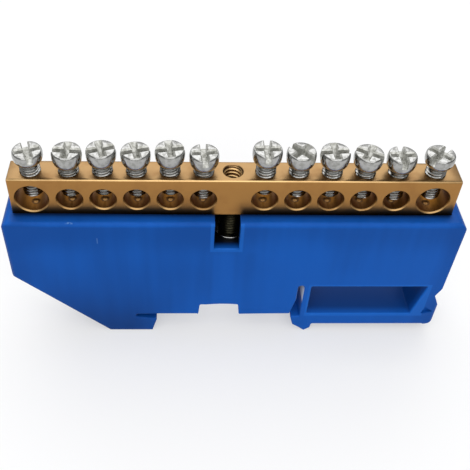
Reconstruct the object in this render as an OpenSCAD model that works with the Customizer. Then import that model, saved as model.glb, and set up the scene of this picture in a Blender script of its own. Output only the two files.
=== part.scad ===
// Neutral terminal bar: a drilled brass bar with clamping screws, fixed by one screw to a
// moulded holder that snaps onto a 35 mm rail.
// X runs along the bar, the rail runs along Y, the front faces -Y and Z is up. The origin is
// the middle of the rail, on the plane that the holder seats on. All sizes are in millimetres.

/* [Brass bar] */
// Depth of the bar, front to back
bar_d = 6; // [5.6:0.1:6.6]
// Height of the bar
bar_h = 9; // [8.6:0.1:10]
// Chamfer along the long edges of the bar
bar_chamfer = 0.25; // [0.1:0.05:0.4]
// Metal from the centre of the left end hole to the left end of the bar
left_margin = 4.25; // [4.1:0.05:5]
// Metal from the centre of the right end hole to the right end of the bar
right_margin = 4.75; // [4.1:0.05:5]
// Middle hole, from the middle of the row of wire holes
middle_shift = -0.3; // [-0.5:0.1:0.5]
// Diameter of the countersink over the middle hole
middle_sink_d = 4.6; // [4.4:0.1:5.4]

/* [Wire holes] */
// Distance between neighbouring small holes
pitch = 6.5; // [6.2:0.1:6.8]
// Distance from the last small hole to the end hole
end_pitch = 7.3; // [7:0.1:7.8]
// Distance between the two small holes beside the middle
middle_gap = 12; // [10:0.5:13]
// Diameter of the small wire holes
wire_d = 4.9; // [4.6:0.1:5.6]
// Diameter of the two end holes
end_wire_d = 6.3; // [5.8:0.1:7]
// Chamfer round the mouths of the wire holes
wire_chamfer = 0.25; // [0.1:0.05:0.3]
// Height of the wire holes above the underside of the bar
wire_z = 4.1; // [3.9:0.1:4.5]
// Diameter of the mark that the tap drill leaves in the floor of a wire hole
drill_mark_d = 1.4; // [1:0.1:1.8]
// Depth of that mark
drill_mark_h = 0.35; // [0.2:0.05:0.4]

/* [Screws] */
// Outer diameter of the thread
thread_d = 4; // [3.8:0.1:4.2]
// Diameter of the tap drill, to which the free thread in the middle of the bar is drawn
tap_drill_d = 3.3; // [3.2:0.05:3.5]
// Gap round a terminal screw in its tapped hole
thread_clear = 0.05; // [0.03:0.01:0.08]
// Gap round the fixing screw in its tapped hole
fixing_thread_clear = 0.03; // [0.02:0.01:0.04]
// Chamfer at the tip of a screw
tip_chamfer = 0.5; // [0.3:0.05:0.7]
// Diameter of a screw head
head_d = 5.8; // [5.4:0.1:6]
// Height of a screw head
head_h = 2.2; // [2:0.1:2.8]
// Taper of the side of a head, from its rim to its underside
head_taper = 0.15; // [0.05:0.05:0.3]
// Radius of the rim round the top of a head
head_round = 0.5; // [0.2:0.05:0.7]
// Length of a terminal screw under its head
screw_l = 8.2; // [7.2:0.1:9.2]
// Width of the driver slot
slot_w = 1.15; // [0.9:0.05:1.3]
// Depth of the driver slot
slot_h = 1.2; // [0.8:0.1:1.5]
// Width of an arm of the driver cross
cross_w = 1; // [0.8:0.05:1.2]
// Span of the driver cross at the top of the head
cross_span = 4.4; // [3.6:0.1:4.8]
// Span of the driver cross at its floor
cross_floor_span = 1.6; // [1.2:0.1:2.4]
// Depth of the driver cross
cross_h = 1.6; // [1.3:0.1:1.9]

/* [Fixing] */
// Length of the fixing screw under its head
fixing_l = 16; // [14:0.5:19]
// Thread of the fixing screw inside the bar
fixing_grip = 4.5; // [3.5:0.1:5]
// Gap round the fixing screw and its head in the holder
fixing_clear = 0.3; // [0.2:0.05:0.5]
// Outer diameter of the washer
washer_d = 7; // [6.4:0.1:7.2]
// Thickness of the washer
washer_h = 0.8; // [0.5:0.1:1.2]
// Gap between the washer and the screw, and between the washer and its pocket
washer_clear = 0.15; // [0.1:0.05:0.2]

/* [Holder body] */
// Depth of the holder, front to back
holder_d = 12; // [11:0.5:14]
// Height of the bar's seat above the rail
seat_z = 27.5; // [26:0.5:30]
// Depth to which the bar sinks into its seat
seat_h = 0.4; // [0.3:0.1:1]
// Gap round the bar in its seat
seat_clear = 0.1; // [0.05:0.05:0.2]
// Plastic past the left end of the bar
left_over = 2.15; // [1.5:0.05:3]
// Plastic past the right end of the bar
right_over = 2.45; // [2:0.05:3.5]
// Overhang of the body's right end at its top
right_lean = 0.3; // [0:0.05:0.5]
// Radius of the long moulded edges of the top and the ends
edge_r = 0.9; // [0.4:0.1:1.2]
// Radius of the long moulded edges of the slanted side and the hook
low_edge_r = 0.4; // [0.2:0.05:0.9]
// Radius of the two upper corners of the side outline
top_corner_r = 1.8; // [0.8:0.1:2]
// Radius of the corners of the side outline
corner_r = 1.5; // [0.8:0.1:1.6]
// Radius of the small inner corners of the side outline
inner_r = 0.35; // [0.2:0.05:0.4]
// Height above the rail at which the slanted left side starts
slant_z = 12.7; // [10:0.1:16]
// Middle of the recess under the bar, from the fixing screw
recess_shift = -0.85; // [-1.6:0.05:0]
// Width of the recess under the bar
recess_w = 5.1; // [4.8:0.1:6.4]
// Height of the recess under the bar
recess_h = 6.6; // [5:0.05:7]
// Radius of the shallow flute down the middle of the front and back
flute_r = 30; // [20:1:40]
// Depth of the flute at its lower end
flute_h = 0.2; // [0.1:0.05:0.6]
// Height of the flute's upper end above the rail
flute_z = 24; // [22:0.5:25]

/* [Rail foot] */
// Width of the rail
rail_w = 35; // [34.5:0.1:35.5]
// Middle of the row of wire holes, from the middle of the rail
bar_x = 2.5; // [2:0.1:3]
// Thickness of the rail's flange
rail_t = 1; // [0.9:0.05:1.1]
// Gap between the rail and the ends of its space
rail_clear = 0.3; // [0.2:0.05:0.5]
// Depth of the hook below the rail plane
foot_h = 5.85; // [5.2:0.05:6]
// Reach of the hook under the rail
hook_reach = 4.6; // [3.5:0.1:5]
// Plastic behind the end of the hook's slot
hook_wall = 6.1; // [5:0.1:7]
// Opening of the hook's slot at its mouth, past the rail's thickness
hook_flare = 0.9; // [0.5:0.1:1.2]
// Lean of the hook's inner face
hook_lean = 1.1; // [0.6:0.1:1.6]
// Middle of the notch under the body, from the fixing screw
notch_shift = -1.7; // [-2.2:0.1:-1]
// Width of the notch under the body at its top
notch_w = 8.45; // [7.6:0.05:9]
// Height of the notch under the body
notch_h = 3.3; // [2.8:0.1:4.5]
// Draft of each side of the notch
notch_draft = 0.3; // [0.2:0.05:0.7]
// Grip of the catch under the rail
catch_reach = 0.8; // [0.5:0.1:1.1]
// Height of the catch's nose
catch_h = 2.9; // [2.5:0.1:3.4]
// Depth of the catch's point below the rail plane
point_h = 6.1; // [5.8:0.1:6.6]
// Depth of the catch's shoulders beside its point
shoulder_h = 5.05; // [4.8:0.05:5.4]
// Thickness of the spring leg
leg_t = 1.55; // [1.2:0.05:1.8]
// Gap between the rail and the spring leg
leg_gap = 1.25; // [1.1:0.05:1.5]
// Width of the slit beside the spring leg
slit_w = 1.3; // [1:0.05:1.5]
// Height of the slit's top above the rail
slit_z = 9.4; // [8:0.1:11]
// Flare of the slit at the rail
slit_flare = 1; // [0.6:0.1:1.2]

/* [Spring loop] */
// Height of the window's top above the rail
window_z = 9.2; // [8:0.1:11]
// Thickness of the lower beam
beam_t = 3.65; // [3:0.05:4.2]
// Distance from the right end of the body to the foot of the strut
strut_in = 5.4; // [5:0.1:6]
// Sideways lean of the strut over the height of the window
strut_lean = 2.1; // [1.5:0.1:2.5]
// Thickness of the strut beside the ear's pocket
strut_t = 2.5; // [2.2:0.1:2.8]
// Reach of the pull ear past the right end of the body
ear_out = 0.6; // [0.3:0.1:1.2]
// Radius of the ear's lower corner
ear_r = 1.9; // [1.2:0.1:2.2]
// Height of the ear's upper corner above the rail
ear_z = 2.45; // [2.2:0.05:3.6]
// Depth of the gap over the ear, from the right end of the body
ear_gap_in = 1.05; // [0.8:0.05:1.4]
// Height of the inner corner of that gap above the rail
ear_gap_z = 6.2; // [5.6:0.1:6.6]
// Height of the body's lower right corner above the rail
body_right_z = 8.6; // [8:0.1:9.4]
// Plastic outside the pocket in the ear
ear_wall = 0.8; // [0.6:0.1:1]
// Depth of the pocket in the ear on the front and back
ear_pocket_h = 0.7; // [0.4:0.1:2]

/* [Hidden] */
$fn = 64;
// Steps along each rounded corner of an outline
arc_steps = 6;
// Overshoot of a cut past the face that it opens
past = 1;
// Length that reaches past the whole object
far = 200;

// Small holes on each side of the middle, and holes in all
small_ways = 5;
ways = 2 * (small_ways + 1);
// Height of each head's underside above the bar, as the screws stand backed out
rise = [2.7, 2.7, 3.1, 2.8, 3.2, 2.4, 3.4, 2.9, 2.9, 2.6, 2.2, 2.5];
// Turn of each driver slot, from straight towards the front
turn = [19, 85, 107, 105, 100, 5, 0, 43, 95, 60, 0, 135];

end_x = middle_gap / 2 + (small_ways - 1) * pitch + end_pitch;
bar_l = left_margin + 2 * end_x + right_margin;
bar_left_x = bar_x - end_x - left_margin;
middle_x = bar_x + middle_shift;
bar_top = seat_z + bar_h;
thread_r = thread_d / 2;
head_r = head_d / 2;
tapped_r = thread_r + thread_clear;
fixing_tapped_r = thread_r + fixing_thread_clear;

ledge_z = seat_z + seat_h;
left_x = bar_left_x - left_over;
right_x = bar_left_x + bar_l + right_over;
recess_x = middle_x + recess_shift;
recess_z = seat_z - recess_h;
notch_x = middle_x + notch_shift;
fixing_seat_z = seat_z + fixing_grip - fixing_l;
fixing_tip_z = seat_z + fixing_grip;

hook_end_x = -rail_w / 2 - rail_clear;
hook_left_x = hook_end_x - hook_wall;
hook_lip_x = hook_end_x + hook_reach;
slot_drop = rail_clear / 2;
catch_tip_x = rail_w / 2 - catch_reach;
leg_x = rail_w / 2 + leg_gap;
slit_x = leg_x - slit_w;
ear_x = right_x + ear_out;
slant_turn = atan2(slant_z + foot_h, hook_left_x - left_x);

// Name of the node that holds terminal screw i, counted from 1
function screw_name(i) = str("terminal_screw_", i < 10 ? "0" : "", i);

// Place along X of wire hole i, counted from 1 at the left
function way_x(i) =
    let (side = i <= ways / 2 ? -1 : 1)
    let (step = side < 0 ? ways / 2 - i : i - ways / 2 - 1)
    bar_x + side * (step < small_ways ? middle_gap / 2 + step * pitch : end_x);

// Diameter of wire hole i: the two outermost ones are larger
function way_d(i) = i == 1 || i == ways ? end_wire_d : wire_d;

// Inner face of the strut at a height above the rail
function strut_x(z) = right_x - strut_in + strut_lean * z / window_z;

function unit(v) = v / norm(v);

// Points that round the corner b between a and c to radius r
function round_corner(a, b, c, r) =
    let (u = unit(a - b), v = unit(c - b), half = acos(u * v) / 2)
    let (centre = b + unit(u + v) * r / sin(half))
    let (first = b + u * r / tan(half) - centre, last = b + v * r / tan(half) - centre)
    let (start = atan2(first.y, first.x), sweep = atan2(cross(first, last), first * last))
    [for (k = [0 : arc_steps])
        let (t = start + sweep * k / arc_steps)
        centre + r * [cos(t), sin(t)]];

// Closed outline from corners given as [x, z, radius]
function outline(corners) =
    let (n = len(corners))
    [for (i = [0 : n - 1])
        let (a = corners[(i + n - 1) % n], b = corners[i], c = corners[(i + 1) % n])
        each round_corner([a[0], a[1]], [b[0], b[1]], [c[0], c[1]], b[2])];

// Side outline of the holder, clockwise from its upper left corner
function holder_corners() = [
    [left_x, ledge_z, top_corner_r],
    [right_x + right_lean, ledge_z, top_corner_r],
    // right end of the body, gap and pull ear
    [right_x, body_right_z, inner_r],
    [right_x - ear_gap_in, ear_gap_z, inner_r],
    [ear_x, ear_z, inner_r],
    [ear_x, -beam_t, ear_r],
    // catch under the spring leg
    [leg_x + 2 * leg_t, -beam_t, inner_r],
    [leg_x + 2 * leg_t - inner_r / 2, -shoulder_h, inner_r / 2],
    [leg_x + leg_t, -point_h, inner_r],
    [leg_x + leg_t / 4, -shoulder_h, inner_r],
    [catch_tip_x + catch_reach, -rail_t - catch_h, inner_r],
    [catch_tip_x, -rail_t, inner_r],
    [leg_x, -rail_t + rail_clear / 4, inner_r / 2],
    // slit between the spring leg and the body
    [leg_x, slit_z, 0.49 * slit_w],
    [slit_x, slit_z, 0.49 * slit_w],
    [slit_x, slit_z / 2, corner_r],
    [slit_x - slit_flare, 0, inner_r],
    // notch under the body
    [notch_x + notch_w / 2 + notch_draft, 0, inner_r],
    [notch_x + notch_w / 2, notch_h, inner_r],
    [notch_x - notch_w / 2, notch_h, inner_r],
    [notch_x - notch_w / 2 - notch_draft, 0, inner_r],
    // fixed hook and its slot
    [hook_lip_x + hook_lean / 2, 0, inner_r / 2],
    [hook_end_x, -slot_drop, inner_r],
    [hook_end_x, -slot_drop - rail_t, inner_r],
    [hook_lip_x, -rail_t - hook_flare, inner_r],
    [hook_lip_x - hook_lean, -foot_h, corner_r / 2],
    [hook_left_x, -foot_h, corner_r],
    // slanted left side
    [left_x, slant_z, corner_r]
];

// Window inside the spring loop
function window_corners() = [
    [leg_x + leg_t, 0, inner_r],
    [leg_x + leg_t, window_z, inner_r],
    [strut_x(window_z), window_z, inner_r],
    [strut_x(0), 0, inner_r]
];

// Three-cornered pocket in the face of the pull ear
function ear_pocket_corners() = [
    [strut_x(0) + strut_t, 0, inner_r / 2],
    [strut_x(ear_z) + strut_t, ear_z, inner_r / 2],
    [ear_x - ear_wall, ear_wall, inner_r / 2]
];

// Solid of a side outline, of depth d about the middle plane
module side_solid(corners, d) {
    rotate([90, 0, 0])
        linear_extrude(d, center = true)
            polygon(outline(corners));
}

// Space below a face through [x, z] whose outward side is turned from +Z towards +X, as deep
// as the holder and with both long edges of the face rounded to radius r
module rounded_space(x, z, turned, r) {
    translate([x, 0, z])
        rotate([0, turned, 0])
            rotate([90, 0, 90])
                linear_extrude(far, center = true) {
                    translate([-holder_d / 2, -far])
                        square([holder_d, far - r]);
                    translate([-holder_d / 2 + r, -far])
                        square([holder_d - 2 * r, far]);
                    for (side = [-1, 1])
                        translate([side * (holder_d / 2 - r), -r])
                            circle(r);
                }
}

// Space round the foot: the hook's long lower edges are rounded, the catch is left sharp
module foot_space() {
    rounded_space(0, -foot_h, 180, low_edge_r);
    translate([0, -holder_d / 2, -far / 2])
        cube([far, holder_d, far]);
}

// Cutter for the flute on the front: a long drum whose axis leans in towards the foot
module flute_cutter() {
    translate([recess_x, -holder_d / 2 - flute_r, flute_z])
        rotate([atan2(flute_h, flute_z - notch_h), 0, 0])
            translate([0, 0, -far / 2])
                cylinder(h = far, r = flute_r);
}

// Body of the holder with its spring loop, all edges rounded, before the bar's seat is cut
module holder_body() {
    intersection() {
        difference() {
            side_solid(holder_corners(), holder_d);
            side_solid(window_corners(), holder_d + 2 * past);
        }
        rounded_space(0, ledge_z, 0, edge_r);
        rounded_space(left_x, 0, -90, edge_r);
        rounded_space(ear_x, 0, 90, edge_r);
        rounded_space(left_x, slant_z, slant_turn - 180, low_edge_r);
        foot_space();
    }
}

// Bores for the fixing screw, its head and its washer
module fixing_bores() {
    translate([middle_x, 0, fixing_seat_z - past])
        cylinder(h = recess_z - fixing_seat_z + 2 * past, r = thread_r + fixing_clear);
    translate([middle_x, 0, -past])
        cylinder(h = fixing_seat_z + past, r = head_r + fixing_clear);
    translate([middle_x, 0, recess_z])
        cylinder(h = recess_h + past, r = washer_d / 2 + washer_clear);
}

// Blue moulded holder in one piece, spring loop included
module holder() {
    color([0.10, 0.32, 0.62])
        difference() {
            holder_body();
            translate([bar_left_x - seat_clear, -bar_d / 2 - seat_clear, seat_z])
                cube([bar_l + 2 * seat_clear, bar_d + 2 * seat_clear, seat_h + past]);
            translate([recess_x - recess_w / 2, -holder_d / 2 - past, recess_z])
                cube([recess_w, holder_d / 2 + past, recess_h + seat_h + past]);
            fixing_bores();
            for (side = [0, 1])
                mirror([0, side, 0]) {
                    flute_cutter();
                    translate([0, -holder_d / 2, 0])
                        side_solid(ear_pocket_corners(), 2 * ear_pocket_h);
                }
        }
}

// Brass bar before drilling
module bar_blank() {
    y = bar_d / 2;
    c = bar_chamfer;
    translate([bar_left_x, 0, seat_z])
        rotate([90, 0, 90])
            linear_extrude(bar_l)
                polygon([
                    [-y + c, 0], [y - c, 0], [y, c], [y, bar_h - c],
                    [y - c, bar_h], [-y + c, bar_h], [-y, bar_h - c], [-y, c]
                ]);
}

// Wire hole with chamfered mouths, tapped hole and drill mark of one way
module way_cutter(d) {
    c = wire_chamfer;
    translate([0, 0, seat_z + wire_z]) {
        rotate([90, 0, 0])
            cylinder(h = bar_d + 2 * past, d = d, center = true);
        for (turned = [90, -90])
            rotate([turned, 0, 0])
                translate([0, 0, bar_d / 2 - c])
                    cylinder(h = 2 * c, d1 = d, d2 = d + 4 * c);
        cylinder(h = bar_h, r = tapped_r);
        translate([0, 0, -d / 2 - drill_mark_h])
            cylinder(h = 2 * drill_mark_h, d1 = 0, d2 = 2 * drill_mark_d);
    }
}

// Middle hole, tapped from below for the fixing screw and left free above its tip
module middle_cutter() {
    drill_r = tap_drill_d / 2;
    sink_h = middle_sink_d / 2 - drill_r;
    translate([middle_x, 0, seat_z - past])
        cylinder(h = fixing_grip + thread_clear + past, r = fixing_tapped_r);
    translate([middle_x, 0, fixing_tip_z])
        cylinder(h = bar_h, r = drill_r);
    translate([middle_x, 0, bar_top - sink_h])
        cylinder(h = 2 * sink_h, r1 = drill_r, r2 = drill_r + 2 * sink_h);
}

// Drilled and tapped brass bar
module terminal_bar() {
    color([0.80, 0.62, 0.34])
        difference() {
            bar_blank();
            for (i = [1 : ways])
                translate([way_x(i), 0, 0])
                    way_cutter(way_d(i));
            middle_cutter();
        }
}

// Slot and cross for the driver, cut down from the plane z = 0
module drive_cutter() {
    translate([-slot_w / 2, -head_d, -slot_h])
        cube([slot_w, 2 * head_d, slot_h + past]);
    intersection() {
        translate([0, 0, -cross_h])
            cylinder(h = cross_h, d1 = cross_floor_span, d2 = cross_span);
        for (quarter = [0, 90])
            rotate(quarter)
                translate([-cross_w / 2, -head_d, -cross_h])
                    cube([cross_w, 2 * head_d, 2 * cross_h]);
    }
}

// Head of a screw, its underside at z = 0, with a tapered side and a rounded rim
module screw_head() {
    rim_x = head_r - head_round;
    rim_z = head_h - head_round;
    rotate_extrude() {
        polygon([
            [0, 0], [head_r - head_taper, 0], [head_r, rim_z], [rim_x, rim_z],
            [rim_x, head_h], [0, head_h]
        ]);
        translate([rim_x, rim_z])
            intersection() {
                circle(head_round);
                square(head_round);
            }
    }
}

// Shank of length l with a chamfered tip, rooted inside the head
module screw_shank(l) {
    rotate_extrude()
        polygon([
            [0, head_h / 4], [thread_r, head_h / 4], [thread_r, tip_chamfer - l],
            [thread_r - tip_chamfer, -l], [0, -l]
        ]);
}

// Cheese-head screw of length l, head up, with the underside of its head at z = 0
module screw(l) {
    difference() {
        union() {
            screw_head();
            screw_shank(l);
        }
        translate([0, 0, head_h])
            drive_cutter();
    }
}

// Terminal screw i, backed out as far as its rise
module terminal_screw(i) {
    color([0.78, 0.79, 0.80])
        translate([way_x(i), 0, bar_top + rise[i - 1]])
            rotate(turn[i - 1])
                screw(screw_l);
}

// Screw that pulls the bar onto the holder from below
module fixing_screw() {
    color([0.32, 0.31, 0.28])
        translate([middle_x, 0, fixing_seat_z])
            rotate([180, 0, 0])
                screw(fixing_l);
}

// Washer round the fixing screw on the floor of the recess
module fixing_washer() {
    color([0.74, 0.75, 0.76])
        translate([middle_x, 0, recess_z])
            difference() {
                cylinder(h = washer_h, d = washer_d);
                translate([0, 0, -past])
                    cylinder(h = washer_h + 2 * past, r = thread_r + washer_clear);
            }
}

holder();
terminal_bar();
fixing_screw();
fixing_washer();
for (i = [1 : ways])
    terminal_screw(i);
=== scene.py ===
"""Looks of a neutral terminal bar: a drilled brass bar with clamping screws on a blue rail holder.

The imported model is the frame: every piece takes its place from the CAD nodes, in metres.
"""

import logging
import math
from dataclasses import dataclass, field
from enum import Enum
from typing import Any, Callable, Optional, Sequence, Union

import bmesh
import bpy
from mathutils import Matrix, Vector


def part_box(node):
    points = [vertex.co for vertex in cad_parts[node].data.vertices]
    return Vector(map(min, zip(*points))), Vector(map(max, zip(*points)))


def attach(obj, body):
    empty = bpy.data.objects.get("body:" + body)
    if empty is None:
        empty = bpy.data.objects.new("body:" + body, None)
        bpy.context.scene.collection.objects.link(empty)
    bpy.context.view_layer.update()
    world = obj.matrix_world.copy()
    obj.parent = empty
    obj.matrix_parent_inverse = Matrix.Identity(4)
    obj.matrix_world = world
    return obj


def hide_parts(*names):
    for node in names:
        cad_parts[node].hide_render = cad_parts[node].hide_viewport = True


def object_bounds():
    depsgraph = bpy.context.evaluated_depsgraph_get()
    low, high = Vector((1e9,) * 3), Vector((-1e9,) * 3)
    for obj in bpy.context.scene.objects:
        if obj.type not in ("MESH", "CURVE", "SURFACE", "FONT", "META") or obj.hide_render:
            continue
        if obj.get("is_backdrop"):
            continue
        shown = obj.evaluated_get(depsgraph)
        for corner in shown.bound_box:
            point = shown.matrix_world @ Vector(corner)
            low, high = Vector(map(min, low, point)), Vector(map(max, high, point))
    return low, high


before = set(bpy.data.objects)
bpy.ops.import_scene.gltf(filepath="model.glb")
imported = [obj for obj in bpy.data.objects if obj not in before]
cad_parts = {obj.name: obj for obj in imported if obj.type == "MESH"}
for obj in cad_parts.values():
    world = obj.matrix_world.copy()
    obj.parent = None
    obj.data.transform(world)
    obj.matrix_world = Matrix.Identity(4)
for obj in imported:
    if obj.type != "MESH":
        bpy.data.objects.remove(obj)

MM = 0.001
# Corners nearer than MERGE become one. After a rounding, so do those nearer than SLIVER, and faces
# thinner than that are dissolved.
MERGE = 0.0005 * MM
SLIVER = 0.006 * MM
IMAGE_PX = 470
BASE_BODY = "bar_on_holder"

LOG = logging.getLogger("terminal_bar")

Colour = tuple[float, float, float]
Point = tuple[float, float]
Numbers = tuple[float, ...]


def mm(*sizes: float) -> Numbers:
    """Sizes in millimetres, as metres."""
    return tuple(size * MM for size in sizes)


class Slot(Enum):
    """Material slots of the record."""

    PLASTIC = "blue_plastic"
    BRASS = "brass"
    ZINC = "zinc"
    FIXING = "fixing_steel"


class Cut(Enum):
    """Ways to combine two solids."""

    JOIN = "UNION"
    REMOVE = "DIFFERENCE"


class ScrewFace(Enum):
    """Numbers of a screw's materials."""

    SIDE = 0
    DRIVE = 1
    TOP = 2


class Value:
    """A shader socket that takes part in Python arithmetic."""

    def __init__(self, recipe: "Recipe", socket: bpy.types.NodeSocket) -> None:
        """Keeps the socket and the recipe whose tree it belongs to."""
        self.recipe = recipe
        self.socket = socket

    def _math(self, operation: str, first: "Feed", second: "Feed") -> "Value":
        """Adds one Math node and gives its result."""
        return self.recipe.value("ShaderNodeMath", {"operation": operation}, {0: first, 1: second})

    def __add__(self, other: "Feed") -> "Value":
        """Sum."""
        return self._math("ADD", self, other)

    def __radd__(self, other: "Feed") -> "Value":
        """Sum with the value on the right."""
        return self._math("ADD", other, self)

    def __sub__(self, other: "Feed") -> "Value":
        """Difference."""
        return self._math("SUBTRACT", self, other)

    def __rsub__(self, other: "Feed") -> "Value":
        """Difference with the value on the right."""
        return self._math("SUBTRACT", other, self)

    def __mul__(self, other: "Feed") -> "Value":
        """Product."""
        return self._math("MULTIPLY", self, other)

    def __rmul__(self, other: "Feed") -> "Value":
        """Product with the value on the right."""
        return self._math("MULTIPLY", other, self)

    def size(self) -> "Value":
        """Value without its sign."""
        return self._math("ABSOLUTE", self, 0.0)

    def folded(self, half: float) -> "Value":
        """Distance to the nearest of a row of places that lie twice half apart."""
        return self._math("PINGPONG", self, half)

    def at_most(self, other: "Feed") -> "Value":
        """Smaller of the two."""
        return self._math("MINIMUM", self, other)

    def over(self, low: float, high: float) -> "Value":
        """Smooth rise from 0 at low to 1 at high.

        Args:
            low: Value at which the result leaves 0.
            high: Value at which the result reaches 1.

        Returns:
            The eased share.
        """
        return self.recipe.value(
            "ShaderNodeMapRange",
            {"interpolation_type": "SMOOTHSTEP"},
            {"Value": self, "From Min": low, "From Max": high},
        )

    def within(self, low: float, high: float, soft: float) -> "Value":
        """1 between two limits and 0 outside them, with eased borders of width soft."""
        return self.over(low, low + soft) * (1.0 - self.over(high - soft, high))


Axes = tuple[Value, Value, Value]
Feed = Union[Value, float, int, Sequence[float], bpy.types.NodeSocket]


class Recipe:
    """A node tree that grows node by node."""

    def __init__(self, tree: bpy.types.NodeTree) -> None:
        """Starts from an empty tree."""
        self.tree = tree
        self.tree.nodes.clear()

    def node(
        self,
        kind: str,
        settings: Optional[dict[str, Any]] = None,
        sockets: Optional[dict[Union[str, int], Feed]] = None,
    ) -> bpy.types.Node:
        """Adds a node.

        Args:
            kind: The node's type.
            settings: Its settings, set before its sockets.
            sockets: Values or links of its inputs, by name or place.

        Returns:
            The new node.
        """
        made = self.tree.nodes.new(kind)
        for name, setting in (settings or {}).items():
            setattr(made, name, setting)
        for name, feed in (sockets or {}).items():
            self.feed(made.inputs[name], feed)
        return made

    def feed(self, socket: bpy.types.NodeSocket, feed: Feed) -> None:
        """Links a socket, or sets its value.

        Args:
            socket: The input to feed.
            feed: A shader value, another node's output, or plain numbers.
        """
        if isinstance(feed, Value):
            feed = feed.socket
        if isinstance(feed, bpy.types.NodeSocket):
            self.tree.links.new(feed, socket)
        elif isinstance(feed, (int, float)):
            socket.default_value = feed
        else:
            wanted = len(socket.default_value)
            socket.default_value = (*feed, 1.0)[:wanted]

    def value(
        self,
        kind: str,
        settings: Optional[dict[str, Any]] = None,
        sockets: Optional[dict[Union[str, int], Feed]] = None,
        output: Union[str, int] = 0,
    ) -> Value:
        """Adds a node and wraps one of its outputs.

        Args:
            kind: The node's type.
            settings: Its settings.
            sockets: Values or links of its inputs.
            output: The output that is wanted.

        Returns:
            That output as a shader value.
        """
        return Value(self, self.node(kind, settings, sockets).outputs[output])

    def blend(self, share: Feed, first: Feed, second: Feed) -> Value:
        """Mixes two colours.

        Args:
            share: Share of the second colour.
            first: Colour at a share of 0.
            second: Colour at a share of 1.

        Returns:
            The mixed colour.
        """
        sockets = {0: share, 6: first, 7: second}
        return self.value("ShaderNodeMix", {"data_type": "RGBA"}, sockets, output=2)

    def place(self, stretch: Sequence[float] = (1.0, 1.0, 1.0)) -> Value:
        """Object coordinates, stretched for a pattern with a grain.

        Args:
            stretch: Factors along X, Y and Z.

        Returns:
            The coordinates.
        """
        coordinates = self.value("ShaderNodeTexCoord", output="Object")
        return self.value("ShaderNodeMapping", None, {"Vector": coordinates, "Scale": stretch})

    def axes(self, place: Value) -> Axes:
        """Single coordinates of a place.

        Args:
            place: Coordinates to split.

        Returns:
            X, Y and Z.
        """
        split = self.node("ShaderNodeSeparateXYZ", None, {"Vector": place})
        x, y, z = (Value(self, output) for output in split.outputs)
        return x, y, z

    def noise(self, size: float, place: Value, detail: float = 2.0, rough: float = 0.5) -> Value:
        """Soft noise with features of a given size.

        Args:
            size: Size of a feature in metres.
            place: Coordinates to read.
            detail: Octaves of finer noise.
            rough: Weight of the finer octaves.

        Returns:
            Noise about 0.5.
        """
        sockets = {"Vector": place, "Scale": 1.0 / size, "Detail": detail, "Roughness": rough}
        return self.value("ShaderNodeTexNoise", None, sockets)

    def bump(self, height: Feed, depth: float, strength: float) -> Value:
        """Normal disturbed by a height.

        Args:
            height: Height from 0 to 1.
            depth: Height of 1 in metres.
            strength: Strength of the effect.

        Returns:
            The normal.
        """
        sockets = {"Height": height, "Distance": depth, "Strength": strength}
        return self.value("ShaderNodeBump", None, sockets)


@dataclass(frozen=True)
class Zone:
    """A box with eased borders, in which a mark lies."""

    low: Numbers
    high: Numbers
    soft: float

    def share(self, axes: Axes) -> Value:
        """1 inside the box and 0 outside it.

        Args:
            axes: Place along X, Y and Z.

        Returns:
            The share.
        """
        limits = zip(axes, self.low, self.high)
        x, y, z = (place.within(low, high, self.soft) for place, low, high in limits)
        return x * y * z

    def grown(self, margin: float, soft: float) -> "Zone":
        """The box, larger by a margin on every side.

        Args:
            margin: Width that is added on each side.
            soft: Width of the new borders.

        Returns:
            The larger box.
        """
        low = tuple(corner - margin for corner in self.low)
        high = tuple(corner + margin for corner in self.high)
        return Zone(low, high, soft)


@dataclass(frozen=True)
class Finish:
    """A surface finish that becomes one material.

    In the finishes, three numbers for an axis are a low end, a high end and the width of the eased
    borders. Two numbers are where a change sets in and where it is complete.
    """

    name: str

    def dress(self, recipe: Recipe) -> dict[str, Feed]:
        """Sockets of the principled shader, worked out in a recipe."""
        raise NotImplementedError

    def surface(self, recipe: Recipe) -> Value:
        """The principled shader, dressed."""
        return recipe.value("ShaderNodeBsdfPrincipled", None, self.dress(recipe))

    def material(self) -> bpy.types.Material:
        """Builds the material.

        Returns:
            The material with this finish.
        """
        made = bpy.data.materials.new(self.name)
        made.use_nodes = True
        recipe = Recipe(made.node_tree)
        recipe.node("ShaderNodeOutputMaterial", None, {"Surface": self.surface(recipe)})
        return made


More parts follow.
